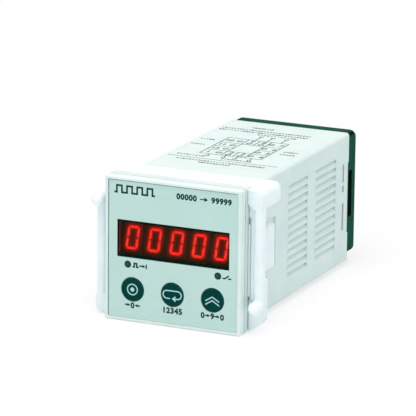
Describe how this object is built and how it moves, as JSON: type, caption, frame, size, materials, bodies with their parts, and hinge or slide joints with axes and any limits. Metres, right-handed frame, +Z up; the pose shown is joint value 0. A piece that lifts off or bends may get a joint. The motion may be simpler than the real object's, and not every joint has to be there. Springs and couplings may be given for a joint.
{
  "type": "digital counter timer",
  "caption": "Panel-mounted digital preset counter timer with a square front, red digit display, round keys, louvred case, rear screw terminals and a slide-on spring mounting clamp.",
  "frame": {"origin": "centre of the panel seat, the plane of the rim on the back of the front flange", "axes": "+X right as seen from the front, +Y back through the panel along the case, +Z up; the front faces -Y"},
  "size_m": [0.0598, 0.1004, 0.048],
  "materials": {
    "case_plastic": "fine moulded grain",
    "bezel_plastic": "fine moulded grain",
    "fascia_film": "printed polyester film, satin",
    "window_red": "dark red tinted acrylic",
    "module_black": "black moulding with a printed face",
    "segment_red": "lit red segments",
    "segment_dark": "unlit segments",
    "lamp_lens": "unlit lamp lens",
    "key_teal": "satin",
    "switch_black": "moulded",
    "board_green": "solder resist",
    "screw_steel": "bright plated",
    "contact_brass": "tin plated",
    "core_steel": "varnished laminations",
    "winding_tape": "insulating tape",
    "relay_black": "moulded cover",
    "capacitor_sleeve": "shrunk sleeve",
    "disc_blue": "dipped coating",
    "block_black": "moulded thermoset",
    "clamp_white": "moulded, slightly glossy"
  },
  "bodies": {
    "counter_body": {"case": "case_plastic", "bezel": "bezel_plastic", "fascia_film": "fascia_film", "display_window": "window_red", "digit_module_1": "module_black", "digit_module_2": "module_black", "digit_module_3": "module_black", "digit_module_4": "module_black", "digit_module_5": "module_black", "lit_segments": "segment_red", "dark_segments": "segment_dark", "input_lamp": "lamp_lens", "output_lamp": "lamp_lens", "reset_switch": "switch_black", "select_switch": "switch_black", "advance_switch": "switch_black", "display_board": "board_green", "board_screws": "screw_steel", "power_board": "board_green", "logic_board": "board_green", "rear_board": "board_green", "board_headers": "switch_black", "transformer_base": "switch_black", "transformer_core": "core_steel", "transformer_winding": "winding_tape", "relay": "relay_black", "main_capacitor": "capacitor_sleeve", "small_capacitor": "capacitor_sleeve", "surge_disc": "disc_blue", "controller_chip": "switch_black", "terminal_block": "block_black", "terminal_contacts": "contact_brass", "clamping_washers": "screw_steel", "terminal_screws": "screw_steel"},
    "reset_key_body": {"reset_key": "key_teal", "reset_plunger": "switch_black"},
    "select_key_body": {"select_key": "key_teal", "select_plunger": "switch_black"},
    "advance_key_body": {"advance_key": "key_teal", "advance_plunger": "switch_black"},
    "clamp_body": {"mounting_clamp": "clamp_white"}
  },
  "joints": [
    {"name": "reset_press", "type": "slide", "parent": "counter_body", "child": "reset_key_body", "axis": [0, 1, 0], "range_m": [0, 0.0004], "stiffness_N_per_m": 4000},
    {"name": "select_press", "type": "slide", "parent": "counter_body", "child": "select_key_body", "axis": [0, 1, 0], "range_m": [0, 0.0004], "stiffness_N_per_m": 4000},
    {"name": "advance_press", "type": "slide", "parent": "counter_body", "child": "advance_key_body", "axis": [0, 1, 0], "range_m": [0, 0.0004], "stiffness_N_per_m": 4000},
    {"name": "clamp_slide", "type": "slide", "parent": "counter_body", "child": "clamp_body", "axis": [0, 1, 0], "range_m": [0, 0.1]}
  ]
}
